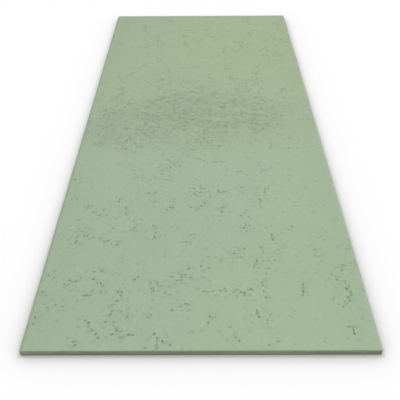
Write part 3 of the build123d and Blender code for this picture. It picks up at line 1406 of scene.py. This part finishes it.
def soft_oval(x, y, cloud, middle, half_sizes):
    """A mask of 1 inside an oval of the plan, fading out along an edge that the cloud makes uneven."""
    over_x = calc("DIVIDE", less(x, middle[0]), half_sizes[0])
    over_y = calc("DIVIDE", less(y, middle[1]), half_sizes[1])
    apart = with_shares(times(over_y, over_y), (over_x, over_x), (cloud, PATCH_UNEVEN))
    return between(apart, *PATCH_EDGE)


def coat_tint(tree, x, y, cloud, ground_tone, patch):
    """The clean coat's colour: cooler near and warmer far, a little paler and yellower to the right."""
    colours = settings("osb_finish")
    warm = between(with_shares(y, (x, WARM_BY_X), (cloud, WARM_BY_CLOUD)), *WARMER)
    colour = blend(warm, rgba(colours.coat_near), rgba(colours.coat_far))
    level = with_shares(
        1.0,
        (cloud, LEVEL_BY_CLOUD),
        (x, LEVEL_BY_X),
        (y, LEVEL_BY_Y),
        (less(ground_tone, 0.5), LEVEL_BY_STRAND),
        (less(attribute(tree, TONE), 0.5), LEVEL_BY_STRAND),
    )
    red = with_shares(calc("ADD", level, between(y, *REDDER, to_high=RED_FAR)), (patch, RED_IN_PATCH))
    blue = with_shares(level, (x, BLUE_BY_X))
    return blend(1.0, colour, joined(red, level, blue), "MULTIPLY")


def coat_dirt_and_shade(tree, flat, y, patch):
    """How far the coat shows the dusty wood and painted shade: slivers, smudges and ripples, mostly in the
    patch and by pits, and a painted shade across each strand.

    worn is the patch's inner part. The shares of all kinds of marks are added up.
    """
    wear = settings("osb_wear")
    worn = times(patch, patch)
    marked = attribute(tree, MARKED)
    often = with_shares(wear.often, (worn, wear.often_worn), (marked, wear.often_marked))
    aslant = between(y, *FLATTER, wear.aslant_near, wear.aslant_far)
    slivers = use_group(tree, "Slivers", Vector=flat, Often=often, Spread=aslant)["Mask"]
    mottle = noise(stretched(flat, MOTTLE_SCALE), MOTTLE)
    drawn_out = stretched(flat, WAVY_SCALE, turn=WAVY_TURN)
    wavy = noise(drawn_out, WAVY, detail=1.0, distortion=0.3)
    ripple = between(calc("ABSOLUTE", less(wavy, 0.5)), *RIPPLE_RANGE)
    specks = between(noise(flat, SPECK), *SPECK_RANGE)
    blotchy = between(y, *BLOTCHIER, wear.blotch_near, wear.blotch_far)
    return with_shares(
        times(between(mottle, *MOTTLE_SOFT), times(worn, wear.smudge)),
        (between(mottle, *MOTTLE_SHARP), with_shares(blotchy, (patch, wear.blotch_worn))),
        (times(specks, marked), wear.speck),
        (times(ripple, worn), wear.ripple),
        (times(between(wavy, *SWIRL_RANGE), worn), wear.swirl),
        (patch, wear.haze),
        # Painted shade across each strand
        (attribute(tree, STRAND_SHADE), wear.strand_side_shade),
        (slivers, between(y, *FAINTER, wear.crevice_near, wear.crevice_far)),
    )


def coat_material(name):
    """Matt sage coat over pressed strands, with dusty wood and painted shade in the pits, and dusty wood in
    the crevices that it didn't fill.
    """
    colours = settings("osb_finish")
    wear = settings("osb_wear")
    material, tree, shader = new_material(name)
    place = object_place(tree)
    flat = stretched(place, PLAN_ONLY)
    x, y, _ = axes_of(place)
    cloud = use_group(tree, "Cloud", Vector=flat, Broad=1.6, Fine=11.0)["Value"]
    ground = use_group(tree, "Pressed strands", Vector=flat, **LOW_STRANDS)

    # A worn patch of two ovals lies across the middle, the upper one fainter
    upper = times(soft_oval(x, y, cloud, *UPPER_PATCH), UPPER_STRENGTH)
    patch = calc("MAXIMUM", soft_oval(x, y, cloud, *PATCH), upper)
    colour = coat_tint(tree, x, y, cloud, ground["Tone"], patch)

    # The left rim has a painted shade, the coat darkens towards both sides, and the right rim has a painted
    # highlight
    # Painted shade along the left rim
    left_rim_shade = between(x, *(rim - HALF_WIDTH for rim in LEFT_RIM_SHADE_STRIP), to_high=wear.left_rim_shade)
    side_darkening = between(calc("ABSOLUTE", x), *SIDE_DARKENING_SPAN, to_high=wear.side_darkening)
    # Painted highlight along the right rim
    right_rim_highlight = between(x, *(HALF_WIDTH - rim for rim in RIGHT_RIM_HIGHLIGHT_STRIP), to_high=wear.right_rim_highlight)
    dirt_and_shade = calc("ADD", calc("ADD", coat_dirt_and_shade(tree, flat, y, patch), left_rim_shade), side_darkening)
    colour = blend(right_rim_highlight, colour, rgba(colours.rim_highlight_colour))
    # The coat's marks and painted shades blend towards the pit colour
    colour = blend(dirt_and_shade, colour, rgba(colours.pit))
    # How dark the pits are, dusty wood and painted shade together, by place along the sheet
    dusty = between(y, *FAINTER, wear.pit_dark_near, wear.pit_dark_far)
    pit_dust_and_shade = times(between(attribute(tree, SUNK), *SUNK_RANGE), dusty)
    colour = blend(pit_dust_and_shade, colour, rgba(colours.pit))

    turned = stretched(place, (1.0, 1.0, 1.0), turn=FIBRE_TURN)
    grain = use_group(tree, "Fibre", Vector=turned, Stretch=14.0)["Value"]
    peel = noise(place, PEEL, detail=1.0)
    fibres = times(grain, RELIEF_BY_FIBRE)
    relief = with_shares(fibres, (ground["Height"], RELIEF_BY_STRAND), (peel, RELIEF_BY_PEEL))
    roughness = between(calc("ADD", cloud, grain), *COAT_ROUGHNESS)
    finish_shader(tree, shader, colour, roughness, relief, COAT_RELIEF)
    return material


def edge_material(name):
    """Sawn layers of strand, greener under the coat's run at the top and browner below, with painted shade in
    the gaps and between the strands.
    """
    colours = settings("osb_finish")
    material, tree, shader = new_material(name)
    place = object_place(tree)
    cloud = use_group(tree, "Cloud", Vector=place, Broad=3.0, Fine=25.0)["Value"]
    is_strand = attribute(tree, IS_STRAND)
    run = with_shares(axes_of(place)[2], (cloud, RUN_UNEVEN))
    green = between(run, RUN_START, THICKNESS - RUN_FULL)
    colour = blend(green, rgba(colours.edge_brown), rgba(colours.edge_green))
    layers = noise(stretched(place, LAYER_SCALE), 1.0, detail=3.0, roughness=0.6, distortion=0.4)
    grain = noise(stretched(place, FIBRE_SCALE), 1.0, detail=3.0, roughness=0.6)
    shade = with_shares(
        1.0,
        (less(layers, 0.5), EDGE_BY_LAYER),
        (less(grain, 0.5), EDGE_BY_FIBRE),
        (less(attribute(tree, TONE), EDGE_TONE_MIDDLE), times(is_strand, EDGE_BY_STRAND)),
        (cloud, EDGE_BY_CLOUD),
    )
    colour = blend(1.0, colour, joined(shade, shade, shade), "MULTIPLY")
    # Painted shade on the ground between the sawn strands and in the edge's gaps
    shade_between_strands = times(less(1.0, is_strand), EDGE_GROUND_SHADE)
    dark = calc("MAXIMUM", shade_between_strands, attribute(tree, SUNK))
    colour = blend(dark, colour, rgba(colours.edge_gap_shade))
    roughness = between(layers, *EDGE_ROUGHNESS)
    relief = with_shares(layers, (grain, EDGE_RELIEF_BY_FIBRE))
    finish_shader(tree, shader, colour, roughness, relief, RAW_RELIEF)
    return material


def bare_material(name):
    """Bare pressed strands: each its own shade of pine, with fibre along it and a thin shine of resin."""
    colours = settings("osb_finish")
    material, tree, shader = new_material(name)
    place = object_place(tree)
    flat = stretched(place, PLAN_ONLY)
    cloud = use_group(tree, "Cloud", Vector=flat, Broad=4.0, Fine=40.0)["Value"]
    ground = use_group(tree, "Pressed strands", Vector=flat, **LOW_STRANDS)
    is_strand = attribute(tree, IS_STRAND)
    on_strand = add_node(tree, "ShaderNodeUVMap", uv_map=GRAIN_MAP).outputs[0]
    inputs = {0: is_strand, 4: stretched(place, PLAN_ONLY, turn=math.pi / 2), 5: on_strand}
    along = add_node(tree, "ShaderNodeMix", inputs, data_type="VECTOR").outputs[1]
    grain = use_group(tree, "Fibre", Vector=along, Stretch=20.0)["Value"]
    shade = choose(is_strand, ground["Tone"], attribute(tree, TONE))
    shade = with_shares(shade, (less(grain, 0.5), BACK_BY_FIBRE), (cloud, BACK_BY_CLOUD))
    ramp = add_node(tree, "ShaderNodeValToRGB", {0: shade})
    stops = ramp.color_ramp.elements
    stops[0].position = BACK_SHADES["umber"]
    stops[1].position = BACK_SHADES["straw"]
    for shade_name in ("russet", "honey"):
        stops.new(BACK_SHADES[shade_name])
    for stop, shade_name in zip(stops, BACK_SHADES):
        stop.color = rgba(getattr(colours, shade_name))
    roughness = between(grain, *BACK_ROUGHNESS)
    relief = with_shares(grain, (ground["Height"], less(1.0, is_strand)))
    finish_shader(tree, shader, ramp.outputs[0], roughness, relief, RAW_RELIEF)
    return material


FINISHES = {
    "coat_finish": coat_material,
    "edge_finish": edge_material,
    "bare_finish": bare_material,
}


def shared_finish(name):
    """The material of that name, built the first time it is asked for."""
    return bpy.data.materials.get(name) or FINISHES[name](name)


# Operators


class OSB_OT_press_ground(bpy.types.Operator):
    """Builds the pressed and sawn ground of the sheet, with its pits, in place of the plain node"""

    bl_idname = "osb.press_ground"
    bl_label = "Press and saw the sheet"

    def execute(self, context):
        pits = lay_out_pits()
        points, faces, slots, smooth, sunk = build_ground(pits)
        finishes = [shared_finish(name) for name in FINISHES]
        flat_map = ground_map(points, faces, slots)
        values = {SUNK: sunk, MARKED: marked_at(pits, points[:, :2])}
        piece = make_piece("pressed_sheet", points, faces, flat_map, finishes, values, slots, smooth)
        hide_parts(SHEET)
        return {"FINISHED"}


class OSB_OT_lay_coated_strands(bpy.types.Operator):
    """Lays the strands that stand a little proud under the coat, none of them over the middle of a pit"""

    bl_idname = "osb.lay_coated_strands"
    bl_label = "Lay the coated strands"

    def execute(self, context):
        strands = settings("osb_strands")
        rng = np.random.default_rng(strands.seed)
        pits = lay_out_pits()
        tried = zip(face_strands(strands.coated_tries, rng, *COATED_LAY), strands_beside(pits, rng))
        tried = [np.concatenate(both) for both in tried]
        laid = pick(tried, clear_of_pits(pits, *tried))
        lay_on_face("coated_strands", laid, 1, COATED_SWELL, "coat_finish", rng, pits)
        return {"FINISHED"}


class OSB_OT_lay_bare_strands(bpy.types.Operator):
    """Lays the strands of the uncoated back, which the sheet lies on"""

    bl_idname = "osb.lay_bare_strands"
    bl_label = "Lay the bare strands"

    def execute(self, context):
        strands = settings("osb_strands")
        rng = np.random.default_rng(strands.seed + 1)
        laid = face_strands(strands.bare_count, rng, *BARE_LAY)
        lay_on_face("bare_strands", laid, -1, BARE_SWELL, "bare_finish", rng)
        return {"FINISHED"}


class OSB_OT_saw_edges(bpy.types.Operator):
    """Lays the sawn sections of the strands along the four edges, row over row"""

    bl_idname = "osb.saw_edges"
    bl_label = "Lay the sawn strands"

    def execute(self, context):
        edges = [sawn_edge(number, *outward) for number, outward in enumerate(OUTWARDS)]
        shells, maps = zip(*edges)
        strand_piece("sawn_strands", merge_shells(shells), np.concatenate(maps), "edge_finish")
        return {"FINISHED"}


def floor_material(stage):
    """A white floor with a painted shadow right beside the sheet, which keeps the rendered shadow too and
    sends back little light.
    """
    material, tree, shader = new_material("floor")
    tree.nodes.remove(shader)
    seen = seen_rays(tree)
    x, y, _ = axes_of(object_place(tree))
    # Painted shadow: the floor is darker within the reach of the sheet's outline
    away = calc("MAXIMUM", less(calc("ABSOLUTE", x), HALF_WIDTH), less(calc("ABSOLUTE", y), HALF_LENGTH))
    shaded = stage.floor_white * (1 - stage.painted_foot_shadow)
    level = between(away, 0.0, stage.painted_shadow_reach, shaded, stage.floor_white)
    white = add_node(tree, "ShaderNodeBsdfDiffuse", {"Color": level})
    grey = add_node(tree, "ShaderNodeBsdfDiffuse", {"Color": rgba([stage.floor_bounce] * 3)})
    both = add_node(tree, "ShaderNodeMixShader", {0: seen, 1: grey.outputs[0], 2: white.outputs[0]})
    tree.links.new(both.outputs[0], find_node(tree, "OUTPUT_MATERIAL").inputs["Surface"])
    return material


def sky_world(stage):
    """A white sky, strong round the horizon and dim overhead, which looks plain white to the camera."""
    world = bpy.data.worlds.new("white_sky")
    world.use_nodes = True
    tree = world.node_tree
    sky = find_node(tree, "BACKGROUND")
    height = axes_of(add_node(tree, "ShaderNodeTexCoord").outputs["Generated"])[2]
    strength = between(height, stage.ring_top, stage.ring_fade, stage.horizon, stage.overhead)
    sky.inputs["Color"].default_value = (1.0, 1.0, 1.0, 1.0)
    tree.links.new(choose(seen_rays(tree), strength, 1.0), sky.inputs["Strength"])
    return world


class OSB_OT_set_stage(bpy.types.Operator):
    """Sets the white floor, the soft sky and the camera"""

    bl_idname = "osb.set_stage"
    bl_label = "Set the stage"

    def execute(self, context):
        stage = settings("osb_stage")
        scene = context.scene
        half = stage.floor_size / 2
        corners = [(-half, -half), (half, -half), (half, half), (-half, half)]
        mesh = bpy.data.meshes.new("floor")
        mesh.from_pydata([(x, y, -stage.floor_gap) for x, y in corners], [], [(0, 1, 2, 3)])
        mesh.materials.append(floor_material(stage))
        floor = bpy.data.objects.new("floor", mesh)
        scene.collection.objects.link(floor)

        scene.world = sky_world(stage)

        lens = bpy.data.cameras.new("camera")
        lens.lens = stage.lens
        lens.sensor_width = stage.sensor
        lens.clip_end = stage.floor_size
        camera = bpy.data.objects.new("camera", lens)
        scene.collection.objects.link(camera)
        turn = Matrix.Rotation(stage.yaw, 4, "Z") @ Matrix.Rotation(math.pi / 2 - stage.pitch, 4, "X")
        roll = Matrix.Rotation(stage.roll, 4, "Z")
        camera.matrix_world = Matrix.Translation(stage.place) @ turn @ roll
        scene.camera = camera
        scene.view_settings.view_transform = "Standard"
        return {"FINISHED"}


class OSB_PT_panel(bpy.types.Panel):
    """Lists the sheet's sizes and colours, and the steps that make it"""

    bl_idname = "OSB_PT_panel"
    bl_label = "Strand board"
    bl_space_type = "VIEW_3D"
    bl_region_type = "UI"
    bl_category = "Strand board"

    def draw(self, context):
        for name, group in SETTINGS:
            box = self.layout.box()
            box.label(text=group.__doc__)
            for title in group.__annotations__:
                box.prop(getattr(context.scene, name), title)
        for step in STEPS:
            self.layout.operator(step.bl_idname)


SETTINGS = (
    ("osb_ground", GroundSettings),
    ("osb_pits", PitSettings),
    ("osb_strands", StrandSettings),
    ("osb_wear", WearSettings),
    ("osb_finish", FinishSettings),
    ("osb_stage", StageSettings),
)
STEPS = (
    OSB_OT_press_ground,
    OSB_OT_lay_coated_strands,
    OSB_OT_lay_bare_strands,
    OSB_OT_saw_edges,
    OSB_OT_set_stage,
)


def register():
    """Registers the settings, the steps and the panel."""
    for name, group in SETTINGS:
        bpy.utils.register_class(group)
        setattr(bpy.types.Scene, name, bpy.props.PointerProperty(type=group))
    for step in (*STEPS, OSB_PT_panel):
        bpy.utils.register_class(step)


def unregister():
    """Takes back what register did."""
    for step in (OSB_PT_panel, *reversed(STEPS)):
        bpy.utils.unregister_class(step)
    for name, group in reversed(SETTINGS):
        delattr(bpy.types.Scene, name)
        bpy.utils.unregister_class(group)


def main():
    """Registers the add-on and runs its steps in order."""
    register()
    bpy.ops.osb.press_ground()
    bpy.ops.osb.lay_coated_strands()
    bpy.ops.osb.lay_bare_strands()
    bpy.ops.osb.saw_edges()
    bpy.ops.osb.set_stage()


if __name__ == "__main__":
    main()
